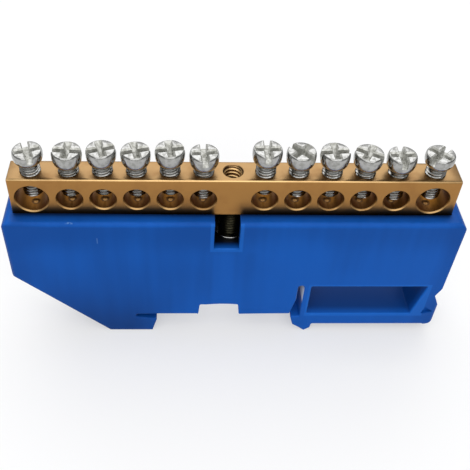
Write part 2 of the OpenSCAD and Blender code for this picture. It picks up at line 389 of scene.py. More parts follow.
@dataclass(frozen=True)
class MouldedPlastic(Finish):
    """Satin moulded plastic with faint flow clouds and a fine grain."""

    name: str = "blue_moulded_plastic"
    # Colours
    deep: Colour = (0.0040, 0.072, 0.345)
    clear: Colour = (0.0065, 0.106, 0.490)
    shade: Colour = (0.0018, 0.034, 0.165)
    # Pale blue of the painted highlight at the top of the slit
    slit_highlight: Colour = (0.74, 0.78, 0.88)
    scuffed: Colour = (0.16, 0.33, 0.62)
    # Lighter blue of the painted highlights along the rims
    rim_highlight: Colour = (0.014, 0.165, 0.66)
    # Near-black of the painted shadow on the ledge at the bar and of the painted shade in the recess
    painted_shadow: Colour = (0.0010, 0.0022, 0.0050)
    # Patterns: their sizes, and the noise values between which each one sets in
    cloud_size: float = 20 * MM
    cloud_edge: Numbers = (0.3, 0.7)
    grain_size: float = 0.16 * MM
    grain_depth: float = 0.02 * MM
    scuff_size: float = 1.6 * MM
    scuff_edge: Numbers = (0.74, 0.80)
    nick_size: float = 0.5 * MM
    nick_edge: Numbers = (0.42, 0.60)
    streak_width: float = 2.2 * MM
    streak_length: float = 26 * MM
    streak_mean: float = 0.35
    # Places of the marks
    recess: Zone = Zone(mm(-1.45, -5.9, 20.6), mm(4.15, 3.7, 27.6), 0.2 * MM)
    recess_fade: float = 2.2 * MM
    slit: Zone = Zone(mm(17.2, -5.9, 0.4), mm(18.95, 5.9, 9.8), 0.05 * MM)
    slit_z: Numbers = mm(3.4, 9.6, 1.8)
    window: Zone = Zone(mm(20.25, -6.0, -0.2), mm(46.0, 6.0, 9.35), 0.1 * MM)
    window_y: Numbers = mm(-6.0, 6.0, 2.5)
    scratch: Zone = Zone(mm(-24.75, -6.1, 22.4), mm(-24.45, -5.9, 24.0), 0.1 * MM)
    nick: Zone = Zone(mm(-30.6, -5.95, 27.56), mm(-29.0, -5.3, 27.88), 0.12 * MM)
    rim_width: float = 0.65 * MM
    rim_soft: float = 0.25 * MM
    face_y: Numbers = mm(-5.65, 5.65, 0.1)
    ledge_x: Numbers = mm(-41.5, 47.0, 1.5)
    ledge_y: Numbers = mm(-5.6, 5.6, 1.6)
    ledge_z: Numbers = mm(27.6, 27.8)
    contact_x: Numbers = mm(-41.5, 47.0, 1.2)
    contact_y: Numbers = mm(-4.4, 4.4, 1.4)
    hook_x: Numbers = mm(-20.0, -8.0)
    hook_z: Numbers = mm(-6.0, 11.0)
    # Painted shade: the tone darkens towards both ends
    ends_x: Numbers = mm(-43.5, 49.6, 7.0)
    # Painted light: the tone grows lighter from left to right
    falloff_x: Numbers = mm(-60.0, 30.0)
    # Painted light and shade beside the middle of the front: a lighter band, and a darker one to its
    # right
    middle_light_x: Numbers = mm(-1.6, 3.6, 0.9)
    middle_shade_x: Numbers = mm(4.2, 8.8, 2.0)
    middle_bands_z: Numbers = mm(18.5, 21.0)
    # Painted shade: a darker band on the front under the ledge's edge, fainter to the right
    band_x: Numbers = mm(-40.0, 40.0)
    band_from: Numbers = mm(18.0, 25.8)
    band_to: Numbers = mm(26.6, 27.3)
    # Painted light on the ledge beyond the bar's left end
    corner_x: Numbers = mm(-43.2, -39.6)
    corner_z: Numbers = mm(27.0, 27.9)
    # Weights in the tone. The clouds and streaks are the plastic's own; the others are painted light and
    # shade.
    cloud_tone: float = 0.45
    falloff_tone: float = 0.50
    streak_tone: float = 0.45
    middle_bands_tone: float = 0.22
    band_shade_tone: float = 0.50
    band_fade: float = 0.5
    ends_shade_tone: float = 0.40
    corner_light_tone: float = 1.2
    # Strengths of the marks
    rim_share: float = 0.45
    scuff_share: float = 0.5
    nick_share: float = 0.6
    scratch_share: float = 0.35
    ledge_share: float = 0.5
    hook_share: float = 0.95
    hollow_share: float = 0.8
    contact_share: float = 0.85
    # Shine
    roughness: float = 0.38
    grain_rough: float = 0.10
    cloud_rough: float = 0.05
    specular: float = 0.10
    refraction: float = 1.5
    bump: float = 0.22

    def dress(self, recipe: Recipe) -> dict[str, Feed]:
        """Blue with soft clouds and rare pale scuffs, with painted shade in its hollows and under the
        bar, painted highlights along its rims and in the slit, and painted light and shade in its tone.

        Args:
            recipe: The tree to work in.

        Returns:
            Sockets of the principled shader.
        """
        place = recipe.place()
        axes = recipe.axes(place)
        cloud = recipe.noise(self.cloud_size, place, detail=1.0).over(*self.cloud_edge)
        grain = recipe.noise(self.grain_size, place, detail=3.0, rough=0.6)
        tone = self.tone(recipe, cloud, axes)
        colour = recipe.blend(tone.over(0.0, 1.0), self.deep, self.clear)
        # Painted highlights along the rims of the recess and the spring loop
        colour = recipe.blend(self.rims(axes) * self.rim_share, colour, self.rim_highlight)
        colour = recipe.blend(self.wear(recipe, place, axes), colour, self.scuffed)
        colour = recipe.blend(self.hollows(axes) * self.hollow_share, colour, self.shade)
        # Painted contact shadow on the ledge along the bar
        colour = recipe.blend(self.contact(axes) * self.contact_share, colour, self.painted_shadow)
        # Painted highlight: a pale patch on the slit's wall towards its top
        bend = self.slit.share(axes) * axes[2].within(*self.slit_z)
        colour = recipe.blend(bend, colour, self.slit_highlight)
        return {
            # Painted shade in the recess round the fixing screw
            "Base Color": recipe.blend(self.recess_shade(axes), colour, self.painted_shadow),
            "Roughness": self.roughness + self.grain_rough * grain + self.cloud_rough * cloud,
            "Specular IOR Level": self.specular,
            "IOR": self.refraction,
            "Normal": recipe.bump(grain, self.grain_depth, self.bump),
        }

    def tone(self, recipe: Recipe, cloud: Value, axes: Axes) -> Value:
        """Tone from deep at 0 to clear at 1, with painted light and shade: lighter to the right, bands
        beside the middle of the front, a darker band under the ledge's edge, darker ends and a lighter
        left end of the ledge.

        Args:
            recipe: The tree to work in.
            cloud: Share of the soft clouds.
            axes: Place along X, Y and Z.

        Returns:
            The tone.
        """
        x, _, z = axes
        squeeze = self.streak_width / self.streak_length
        streak = recipe.noise(self.streak_width, recipe.place((1.0, 1.0, squeeze)), detail=1.0)
        # Painted light and shade below the ledge: a lighter band in the middle of the front, a darker
        # one to its right
        flow = x.within(*self.middle_light_x) - x.within(*self.middle_shade_x)
        under = 1.0 - z.over(*self.middle_bands_z)
        # Painted shade in a band under the ledge's edge, fainter to the right
        band = z.over(*self.band_from) * (1.0 - z.over(*self.band_to))
        band = band * (1.0 - self.band_fade * x.over(*self.band_x))
        # Painted shade towards both ends
        ends = 1.0 - x.within(*self.ends_x)
        # Painted light on the ledge beyond the bar's left end
        corner = z.over(*self.corner_z) * (1.0 - x.over(*self.corner_x))
        # Random clouds, and painted light that grows towards the right
        tone = self.cloud_tone * cloud + self.falloff_tone * x.over(*self.falloff_x)
        tone = tone + self.streak_tone * (streak - self.streak_mean)
        tone = tone + self.middle_bands_tone * flow * under - self.band_shade_tone * band
        return tone - self.ends_shade_tone * ends + self.corner_light_tone * corner

    def wear(self, recipe: Recipe, place: Value, axes: Axes) -> Value:
        """Share of the scuffs, of the nick in the ledge's edge and of the scratch on the front.

        Args:
            recipe: The tree to work in.
            place: Coordinates of the patterns.
            axes: Place along X, Y and Z.

        Returns:
            The share.
        """
        scuff = recipe.noise(self.scuff_size, place, detail=4.0, rough=0.7).over(*self.scuff_edge)
        broken = recipe.noise(self.nick_size, place, detail=2.0).over(*self.nick_edge)
        nick = self.nick.share(axes) * broken
        worn = self.scuff_share * scuff + self.nick_share * nick
        return (worn + self.scratch_share * self.scratch.share(axes)).at_most(1.0)

    def recess_shade(self, axes: Axes) -> Value:
        """Share of the painted shade in the recess round the fixing screw, rising from the front
        inwards.
        """
        front = self.recess.low[1]
        return self.recess.share(axes) * axes[1].over(front, front + self.recess_fade)

    def rims(self, axes: Axes) -> Value:
        """Share of the painted highlights on both faces, along the rims of the recess and the spring
        loop.

        Args:
            axes: Place along X, Y and Z.

        Returns:
            The share.
        """
        recess, window = (
            hollow.grown(self.rim_width, self.rim_soft).share(axes)
            for hollow in (self.recess, self.window)
        )
        face = 1.0 - axes[1].within(*self.face_y)
        return (recess + window).at_most(1.0) * face

    def contact(self, axes: Axes) -> Value:
        """Share of the painted contact shadow on the ledge where the bar meets it."""
        x, y, z = axes
        return z.over(*self.ledge_z) * x.within(*self.contact_x) * y.within(*self.contact_y)

    def hollows(self, axes: Axes) -> Value:
        """Share of shade on the ledge beside the bar, inside the spring loop and round the hook.

        Args:
            axes: Place along X, Y and Z.

        Returns:
            The share.
        """
        x, y, z = axes
        ledge = z.over(*self.ledge_z) * y.within(*self.ledge_y) * x.within(*self.ledge_x)
        window = self.window.share(axes) * y.within(*self.window_y)
        hook = (1.0 - z.over(*self.hook_z)) * (1.0 - x.over(*self.hook_x))
        return (self.ledge_share * ledge + window + self.hook_share * hook).at_most(1.0)


@dataclass(frozen=True)
class DrawnBrass(Finish):
    """Drawn brass bar with fine lines along X, with painted shade that makes its sides brown and painted
    light on its top.
    """

    name: str = "drawn_brass"
    # Colours
    # Brown of the sides and light brass of the top: painted shade and painted light on one brass
    shaded_sides: Colour = (0.36, 0.182, 0.055)
    bright: Colour = (0.385, 0.238, 0.106)
    # Light brass, for the cut brass in the tapped well and for the painted highlights on the top's
    # edges, the drill points and the lips
    worn: Colour = (0.80, 0.53, 0.24)
    # Dark brown of the painted shade on the walls of the wire holes
    drilled: Colour = (0.188, 0.078, 0.011)
    stained: Colour = (0.28, 0.130, 0.042)
    # Painted shade in the roots of the tapped thread
    thread_root_shade: Colour = (0.060, 0.022, 0.008)
    # Near-black of the painted shadow round the drill points and of the painted shade along the bar's
    # foot
    painted_dark: Colour = (0.020, 0.014, 0.010)
    # Patterns: their sizes, and the noise values between which the stains set in
    line_length: float = 14 * MM
    line_width: float = 0.16 * MM
    line_depth: float = 0.006 * MM
    ring_width: float = 0.22 * MM
    stain_size: float = 5 * MM
    stain_edge: Numbers = (0.45, 0.75)
    # Places: the row of wire holes, the top, the tapped middle, the foot and the holes' front lips
    row: Zone = Zone(mm(-40.9, -2.92, 27.6), mm(46.4, 2.92, 36.3), 0.1 * MM)
    row_middle: float = 2.5 * MM
    row_start: float = 6.0 * MM
    row_pitch: float = 6.5 * MM
    row_end: float = 39.3 * MM
    row_soft: float = 0.1 * MM
    floor_z: Numbers = mm(30.2, 30.4)
    point_r: float = 0.46 * MM
    point_core: float = 0.8
    # Width and reach of a ring of painted shadow round each dimple
    ring_shadow_width: float = 0.34 * MM
    ring_shadow_reach: float = 1.15
    top_z: Numbers = mm(36.2, 36.4)
    flat_y: Numbers = mm(-2.8, 2.8, 0.05)
    tapped_x: Numbers = mm(-0.3, 4.7, 0.1)
    tapped_middle: float = 2.2 * MM
    groove_r: Numbers = mm(1.66, 1.90)
    well_y: Numbers = mm(-2.3, 2.3, 0.05)
    well_z: Numbers = mm(30.0, 36.42, 0.05)
    # Painted shade along the bar's foot, except over the middle above the recess
    foot_x: Numbers = mm(-2.0, 4.7, 0.6)
    foot_z: Numbers = mm(28.2, 30.1)
    # Painted highlight on the lower lips of the wire holes
    lip_x: Numbers = mm(-40.9, 46.4, 0.1)
    lip_y: Numbers = mm(-2.995, -2.60, 0.05)
    lip_from: Numbers = mm(27.9, 28.1)
    lip_to: Numbers = mm(29.2, 31.4)
    # Strengths of the marks
    # Strengths of the painted shadow round the dimples and of the painted highlight in them
    ring_shadow_share: float = 0.6
    point_highlight_share: float = 0.2
    stain_share: float = 0.35
    # Strength of the painted shade along the foot
    foot_share: float = 0.85
    lip_highlight_share: float = 0.5
    lip_stain: float = 0.35
    # Shine
    roughness: float = 0.26
    line_rough: float = 0.14
    stain_rough: float = 0.08
    hole_rough: float = 0.12
    bump: float = 0.25

    def dress(self, recipe: Recipe) -> dict[str, Feed]:
        """Painted light on the top and painted shade on the sides, in the holes, in the thread and along
        the foot; painted highlights on the top's long edges, the lips and the drill points; drawn lines,
        drill rings and faint stains.

        Args:
            recipe: The tree to work in.

        Returns:
            Sockets of the principled shader.
        """
        squeeze, wind = self.line_width / self.line_length, self.ring_width / self.line_length
        lines = recipe.noise(self.line_width, recipe.place((squeeze, 1.0, 1.0)), detail=3.0)
        rings = recipe.noise(self.ring_width, recipe.place((wind, 1.0, wind)), detail=2.0)
        place = recipe.place()
        axes = recipe.axes(place)
        x, y, z = axes
        stain = recipe.noise(self.stain_size, place, detail=3.0, rough=0.6).over(*self.stain_edge)
        tapped = x.within(*self.tapped_x)
        hole = self.row.share(axes) * (1.0 - tapped)
        top = z.over(*self.top_z)
        # Painted light on the top, painted shade on the sides
        colour = recipe.blend(top, self.shaded_sides, self.bright)
        # Painted highlight along the top's long edges
        colour = recipe.blend(top * (1.0 - y.within(*self.flat_y)), colour, self.worn)
        # Painted shade on the walls of the wire holes
        colour = recipe.blend(hole, colour, self.drilled)
        point, ring_shadow = self.drill_points(x, y)
        floor = hole * (1.0 - z.over(*self.floor_z))
        # Painted shadow round the drill points, and painted highlight in them
        colour = recipe.blend(floor * ring_shadow * self.ring_shadow_share, colour, self.painted_dark)
        colour = recipe.blend(floor * point * self.point_highlight_share, colour, self.worn)
        well = tapped * z.within(*self.well_z) * y.within(*self.well_y)
        colour = recipe.blend(well, colour, self.worn)
        # Painted shade in the roots of the thread
        colour = recipe.blend(well * self.groove(x, y), colour, self.thread_root_shade)
        colour = recipe.blend(stain * self.stain_share, colour, self.stained)
        # Painted shade along the bar's foot
        foot = (1.0 - z.over(*self.foot_z)) * (1.0 - x.within(*self.foot_x)) * (1.0 - hole)
        colour = recipe.blend(foot * self.foot_share, colour, self.painted_dark)
        # Painted highlight on the lower lips, broken up by the stains
        lip = self.lips(axes) * (self.lip_highlight_share - self.lip_stain * stain)
        shine = self.roughness + self.line_rough * lines + self.stain_rough * stain
        return {
            "Base Color": recipe.blend(lip, colour, self.worn),
            "Metallic": 1.0,
            "Roughness": shine + self.hole_rough * hole,
            "Normal": recipe.bump(lines * (1.0 - hole) + rings * hole, self.line_depth, self.bump),
        }

    def groove(self, x: Value, y: Value) -> Value:
        """Share of the painted shade in the thread of the middle hole, rising from its crest to its
        root.
        """
        out = x - self.tapped_middle
        return (out * out + y * y).over(*(radius**2 for radius in self.groove_r))

    def lips(self, axes: Axes) -> Value:
        """Share of the painted highlight on the lower lips at the front of the wire holes.

        Args:
            axes: Place along X, Y and Z.

        Returns:
            The share.
        """
        x, y, z = axes
        front = x.within(*self.lip_x) * y.within(*self.lip_y)
        return front * z.over(*self.lip_from) * (1.0 - z.over(*self.lip_to))

    def drill_points(self, x: Value, y: Value) -> tuple[Value, Value]:
        """Marks of the drill point on the floors of the wire holes.

        Args:
            x: Place along X.
            y: Place along Y.

        Returns:
            Share of the painted highlight in the dimples, and of the painted shadow in a ring round
            them.
        """
        out = (x - self.row_middle).size()
        half = self.row_pitch / 2
        last = out.over(self.row_end - half, self.row_end - half + self.row_soft)
        inner = (out - self.row_start).folded(half) + last * self.row_pitch
        near = inner.at_most((out - self.row_end).size())
        square = near * near + y * y
        edge = self.point_r + self.ring_shadow_width
        point = 1.0 - square.over((self.point_core * self.point_r) ** 2, self.point_r**2)
        ring_shadow = (1.0 - point) * (1.0 - square.over(edge**2, (self.ring_shadow_reach * edge) ** 2))
        return point, ring_shadow


@dataclass(frozen=True)
class ZincPlate(Finish):
    """Bright zinc plate over a cold-formed screw."""

    name: str = "bright_zinc_plate"
    plate: Colour = (0.40, 0.40, 0.39)
    dull: Colour = (0.30, 0.30, 0.285)
    dent_size: float = 0.90 * MM
    dent_depth: float = 0.03 * MM
    grain_size: float = 0.12 * MM
    grain_height: float = 0.2
    patch_edge: Numbers = (0.40, 0.66)
    roughness: float = 0.08
    patch_rough: float = 0.10
    grain_rough: float = 0.10
    bump: float = 0.30

    def dress(self, recipe: Recipe) -> dict[str, Feed]:
        """Silver with dull patches, forming dents and a crystalline grain.

        Args:
            recipe: The tree to work in.

        Returns:
            Sockets of the principled shader.
        """
        place = recipe.place()
        dents = recipe.noise(self.dent_size, place, detail=2.0)
        grain = recipe.noise(self.grain_size, place, detail=2.0)
        patch = dents.over(*self.patch_edge)
        return {
            "Base Color": recipe.blend(patch, self.plate, self.dull),
            "Metallic": 1.0,
            "Roughness": self.roughness + self.patch_rough * patch + self.grain_rough * grain,
            "Normal": recipe.bump(dents + self.grain_height * grain, self.dent_depth, self.bump),
        }


@dataclass(frozen=True)
class StampedTop(ZincPlate):
    """Zinc plate on the top of a head, dented by the forming punch."""

    name: str = "stamped_zinc_top"
    # Lighter than the plate on the sides: painted light on the head's top
    plate: Colour = (0.52, 0.52, 0.51)
    dull: Colour = (0.32, 0.32, 0.305)
    dent_size: float = 0.60 * MM
    dent_depth: float = 0.05 * MM
    roughness: float = 0.20


@dataclass(frozen=True)
class FixingSteel(ZincPlate):
    """Dark burnished steel of the fixing screw."""

    name: str = "dark_fixing_steel"
    plate: Colour = (0.050, 0.046, 0.028)
    dull: Colour = (0.026, 0.024, 0.015)
    roughness: float = 0.26


@dataclass(frozen=True)
class DriveWalls(Finish):
    """Matt plate inside the drive of a clamping screw."""

    name: str = "matt_drive_walls"
    clean: Colour = (0.58, 0.58, 0.55)
    dirty: Colour = (0.34, 0.34, 0.305)
    patch_size: float = 0.7 * MM
    patch_edge: Numbers = (0.35, 0.65)
    metallic: float = 0.5
    roughness: float = 0.28
    patch_rough: float = 0.14

    def dress(self, recipe: Recipe) -> dict[str, Feed]:
        """Grey with soft dirty patches.

        Args:
            recipe: The tree to work in.

        Returns:
            Sockets of the principled shader.
        """
        patch = recipe.noise(self.patch_size, recipe.place(), detail=3.0).over(*self.patch_edge)
        return {
            "Base Color": recipe.blend(patch, self.clean, self.dirty),
            "Metallic": self.metallic,
            "Roughness": self.roughness + self.patch_rough * patch,
        }


@dataclass(frozen=True)
class PaleFloor(Finish):
    """Matt floor that keeps the shadow and shows pale in the image and in reflections."""

    name: str = "pale_floor"
    paper: Colour = (0.50, 0.50, 0.50)
    light: Colour = (1.0, 1.0, 1.0)
    glow: float = 0.45

    def surface(self, recipe: Recipe) -> Value:
        """Matt paper with a glow for the rays that show the floor.

        Args:
            recipe: The tree to work in.

        Returns:
            The shader.
        """
        paper = recipe.value("ShaderNodeBsdfDiffuse", None, {"Color": self.paper})
        strength = self.seen(recipe) * self.glow
        glow = recipe.value("ShaderNodeEmission", None, {"Color": self.light, "Strength": strength})
        return recipe.value("ShaderNodeAddShader", None, {0: paper, 1: glow})

    def seen(self, recipe: Recipe) -> Value:
        """1 for rays that show the floor in the image, a reflection or a glass, else 0.

        Args:
            recipe: The tree to work in.

        Returns:
            The switch.
        """
        path = recipe.node("ShaderNodeLightPath")
        rays = ("Is Camera Ray", "Is Glossy Ray", "Is Transmission Ray")
        camera, glossy, through = (Value(recipe, path.outputs[ray]) for ray in rays)
        return (camera + glossy + through).at_most(1.0)


class Bench:
    """Mesh operations that the pieces share.

    Faces that bend less than FLAT_RAD count as one, and a corner within CUT_DIST of a cut lies on it.
    A rounding takes up to ROUND_SHARE of the edges beside it. Edges count as one line where the
    cosine between them is at least ALONG.
    """

    FLAT_RAD = math.radians(0.6)
    CUT_DIST = 0.0001 * MM
    ROUND_SHARE = 0.42
    ALONG = 0.8

    @staticmethod
    def copy_of(node: str, cuts: Sequence[float] = ()) -> bmesh.types.BMesh:
        """Copies a CAD node's mesh as clean faces.

        Args:
            node: The CAD node's name.
            cuts: Places along X at which faces are divided, so that none runs round a hole.

        Returns:
            A mesh with merged corners and flat faces in few pieces.
        """
        solid = bmesh.new()
        solid.from_mesh(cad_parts[node].data)
        bmesh.ops.remove_doubles(solid, verts=solid.verts, dist=MERGE)
        for place in cuts:
            cut = bmesh.ops.bisect_plane(
                solid,
                geom=solid.verts[:] + solid.edges[:] + solid.faces[:],
                dist=Bench.CUT_DIST,
                plane_co=(place, 0, 0),
                plane_no=(1, 0, 0),
            )
            for part in cut["geom_cut"]:
                if isinstance(part, bmesh.types.BMEdge):
                    part.seam = True
        bmesh.ops.dissolve_limit(
            solid,
            angle_limit=Bench.FLAT_RAD,
            verts=solid.verts,
            edges=solid.edges,
            delimit={"SEAM"},
        )
        return solid

    @staticmethod
    def lathe(profile: Sequence[Point], steps: int) -> bmesh.types.BMesh:
        """Turns a profile about Z.

        Args:
            profile: Points as radius and height, from the axis to the axis.
            steps: Flats round the turn.

        Returns:
            A closed solid.
        """
        solid = bmesh.new()
        corners = [solid.verts.new((r, 0.0, z)) for r, z in profile]
        edges = [solid.edges.new(pair) for pair in zip(corners, corners[1:])]
        bmesh.ops.spin(
            solid,
            geom=corners + edges,
            cent=(0, 0, 0),
            axis=(0, 0, 1),
            angle=2 * math.pi,
            steps=steps,
            use_merge=True,
        )
        Bench.close(solid)
        return solid

    @staticmethod
    def close(solid: bmesh.types.BMesh) -> None:
        """Merges doubles and turns all faces outwards."""
        bmesh.ops.remove_doubles(solid, verts=solid.verts, dist=MERGE)
        bmesh.ops.recalc_face_normals(solid, faces=solid.faces)

    @staticmethod
    def trim(solid: bmesh.types.BMesh, height: float, side: int) -> None:
        """Cuts a solid level and closes the cut.

        Args:
            solid: The mesh to cut.
            height: Height of the cut.
            side: 1 to remove what lies above, -1 to remove what lies below.
        """
        cut = bmesh.ops.bisect_plane(
            solid,
            geom=solid.verts[:] + solid.edges[:] + solid.faces[:],
            plane_co=(0, 0, height),
            plane_no=(0, 0, side),
            clear_outer=True,
        )
        rim = [part for part in cut["geom_cut"] if isinstance(part, bmesh.types.BMEdge)]
        bmesh.ops.edgeloop_fill(solid, edges=rim)

    @staticmethod
    def combine(first: bmesh.types.BMesh, second: bmesh.types.BMesh, cut: Cut) -> bmesh.types.BMesh:
        """Joins two solids, or cuts the second out of the first, and frees both.

        Args:
            first: The solid to work on.
            second: The other solid.
            cut: What to do.

        Returns:
            The resulting solid.
        """
        work, tool = Bench.holding("work", first), Bench.holding("tool", second)
        step = work.modifiers.new("cut", "BOOLEAN")
        step.operation = cut.value
        step.solver = "MANIFOLD"
        step.object = tool
        return Bench.taken(work, tool)

    @staticmethod
    def rounded(solid: bmesh.types.BMesh, width: float, segments: int) -> bmesh.types.BMesh:
        """Rounds the marked edges of a solid, which is freed.

        Args:
            solid: The solid, with its edges weighed.
            width: Width of the rounding at full weight.
            segments: Flats across it.

        Returns:
            The softened solid.
        """
        work = Bench.holding("work", solid)
        bevel = work.modifiers.new("soft_edges", "BEVEL")
        bevel.width = width
        bevel.segments = segments
        bevel.profile = 0.5
        bevel.material = -1
        bevel.limit_method = "WEIGHT"
        bevel.use_clamp_overlap = False
        result = Bench.taken(work)
        bmesh.ops.remove_doubles(result, verts=result.verts, dist=SLIVER)
        bmesh.ops.dissolve_degenerate(result, dist=SLIVER, edges=result.edges)
        bmesh.ops.recalc_face_normals(result, faces=result.faces)
        return result

    @staticmethod
    def taken(work: bpy.types.Object, *others: bpy.types.Object) -> bmesh.types.BMesh:
        """Takes the finished mesh off a work object and clears the bench.

        Args:
            work: The object with its modifiers.
            others: Helper objects to clear with it.

        Returns:
            The finished mesh, closed.
        """
        graph = bpy.context.evaluated_depsgraph_get()
        result = bmesh.new()
        result.from_object(work, graph)
        for holder in (work, *others):
            mesh = holder.data
            bpy.data.objects.remove(holder)
            bpy.data.meshes.remove(mesh)
        Bench.close(result)
        return result

    @staticmethod
    def holding(name: str, solid: bmesh.types.BMesh) -> bpy.types.Object:
        """Puts a solid into a new object and frees it.

        Args:
            name: Name of the object.
            solid: The finished mesh.

        Returns:
            The object, linked to the scene.
        """
        mesh = bpy.data.meshes.new(name)
        solid.to_mesh(mesh)
        solid.free()
        made = bpy.data.objects.new(name, mesh)
        bpy.context.scene.collection.objects.link(made)
        return made

    @staticmethod
    def smooth(solid: bmesh.types.BMesh, sharp_deg: float) -> None:
        """Shades a solid smooth, with its edges sharp past an angle.

        Args:
            solid: The mesh to shade.
            sharp_deg: Angle between two faces past which their edge stays sharp.
        """
        limit = math.radians(sharp_deg)
        for face in solid.faces:
            face.smooth = True
        for edge in solid.edges:
            edge.smooth = edge.is_manifold and edge.calc_face_angle(0.0) < limit

    @staticmethod
    def weigh_edges(
        solid: bmesh.types.BMesh, width: float, wanted: Callable[[bmesh.types.BMEdge], bool]
    ) -> None:
        """Marks the edges to round, less where a neighbouring edge is short.

        Args:
            solid: The mesh to mark.
            width: Full width of the rounding.
            wanted: Tells whether an edge is rounded.
        """
        weight = solid.edges.layers.float.new("bevel_weight_edge")
        for edge in solid.edges:
            if not edge.is_manifold or not wanted(edge):
                continue
            along = (edge.verts[1].co - edge.verts[0].co).normalized()
            room = width / Bench.ROUND_SHARE
            for corner in edge.verts:
                for other in corner.link_edges:
                    way = other.verts[1].co - other.verts[0].co
                    if abs(way.normalized().dot(along)) < Bench.ALONG:
                        room = min(room, way.length)
            edge[weight] = Bench.ROUND_SHARE * room / width


@dataclass
class SubAssembly:
    """A group of pieces with a common place."""

    def piece(
        self,
        name: str,
        solid: bmesh.types.BMesh,
        materials: Sequence[bpy.types.Material],
        body: str,
        slot: Slot,
        node: str,
    ) -> bpy.types.Object:
        """Makes a finished piece that stands for a CAD node.

        Args:
            name: Name of the piece.
            solid: Its mesh, in place, which is freed.
            materials: Its materials, in the order of its faces' numbers.
            body: The CAD body that it rides on.
            slot: Not used.
            node: The CAD node that it stands for.

        Returns:
            The piece.
        """
        made = Bench.holding(name, solid)
        for material in materials:
            made.data.materials.append(material)
        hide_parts(node)
        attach(made, body)
        LOG.info("%s: %d faces", name, len(made.data.polygons))
        return made

    @staticmethod
    def middle_of(node: str) -> Vector:
        """Middle of a CAD node's box."""
        low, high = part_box(node)
        return (low + high) / 2

    @staticmethod
    def shade_evenly(piece: bpy.types.Object) -> None:
        """Keeps the flats of a piece evenly shaded beside its rounded edges."""
        weigh = piece.modifiers.new("even_shading", "WEIGHTED_NORMAL")
        weigh.keep_sharp = True


@dataclass
class RailHolder(SubAssembly):
    """Blue moulded holder with its hook and spring loop."""

    finish: Finish = field(default_factory=MouldedPlastic)
    edge: float = 0.28 * MM
    edge_segments: int = 3
    cuts: Numbers = mm(33.0, 47.2)
    ear_x: float = 46.0 * MM
    notch_x: Numbers = mm(-4.3, 5.4)
    notch_z: float = 3.5 * MM
    sharp_deg: float = 28.0
    turn_deg: float = 60.0
    flat_normal: float = 0.99

    def build(self) -> None:
        """Copies the CAD holder and rounds its moulded edges."""
        solid = Bench.copy_of("holder", self.cuts)
        Bench.smooth(solid, self.sharp_deg)
        Bench.weigh_edges(solid, self.edge, self.on_flat_side)
        solid = Bench.rounded(solid, self.edge, self.edge_segments)
        blue = [self.finish.material()]
        piece = self.piece("rail_holder", solid, blue, BASE_BODY, Slot.PLASTIC, "holder")
        self.shade_evenly(piece)

    def on_flat_side(self, edge: bmesh.types.BMEdge) -> bool:
        """Tells whether an edge turns sharply off the flat front or back.

        Args:
            edge: An edge of the holder.

        Returns:
            True for the edges to round; those of the ear and of the notch stay crisp.
        """
        middle = (edge.verts[0].co + edge.verts[1].co) / 2
        in_notch = self.notch_x[0] < middle.x < self.notch_x[1] and middle.z < self.notch_z
        if middle.x > self.ear_x or in_notch:
            return False
        flat = max(abs(face.normal.y) for face in edge.link_faces) > self.flat_normal
        return flat and edge.calc_face_angle(0.0) > math.radians(self.turn_deg)


@dataclass
class Thread:
    """Rolled thread of the screws and the tapped hole.

    Its form is one turn's outline, as shares of the pitch and of the depth.
    """

    pitch: float = 0.7 * MM
    crest_r: float = 2.0 * MM
    root_r: float = 1.58 * MM
    steps: int = 48
    spare_turns: int = 2
    lead_turns: float = 1.5
    weld: float = 0.001 * MM
    form: tuple[Point, ...] = (
        (0.0, 0.0), (0.11, 0.0), (0.39, 0.86), (0.46, 1.0),
        (0.54, 1.0), (0.61, 0.86), (0.89, 0.0), (1.0, 0.0),
    )

    def rod(self, low: float, high: float) -> bmesh.types.BMesh:
        """Threaded rod about Z between two heights.

        Args:
            low: Height of its lower end.
            high: Height of its upper end.

        Returns:
            A closed solid.
        """
        turns = math.ceil((high - low) / self.pitch) + self.spare_turns
        start = low - self.lead_turns * self.pitch
        depth = self.crest_r - self.root_r
        rod = bmesh.new()
        corners = [
            rod.verts.new((self.root_r + depth * rise, 0.0, start + self.pitch * along))
            for along, rise in self.form
        ]
        edges = [rod.edges.new(pair) for pair in zip(corners, corners[1:])]
        bmesh.ops.spin(
            rod,
            geom=corners + edges,
            cent=(0, 0, 0),
            axis=(0, 0, 1),
            dvec=(0, 0, self.pitch / self.steps),
            angle=2 * math.pi * turns,
            steps=self.steps * turns,
            use_merge=False,
        )
        bmesh.ops.remove_doubles(rod, verts=rod.verts, dist=self.weld)
        Bench.trim(rod, high, 1)
        Bench.trim(rod, low, -1)
        Bench.close(rod)
        return rod


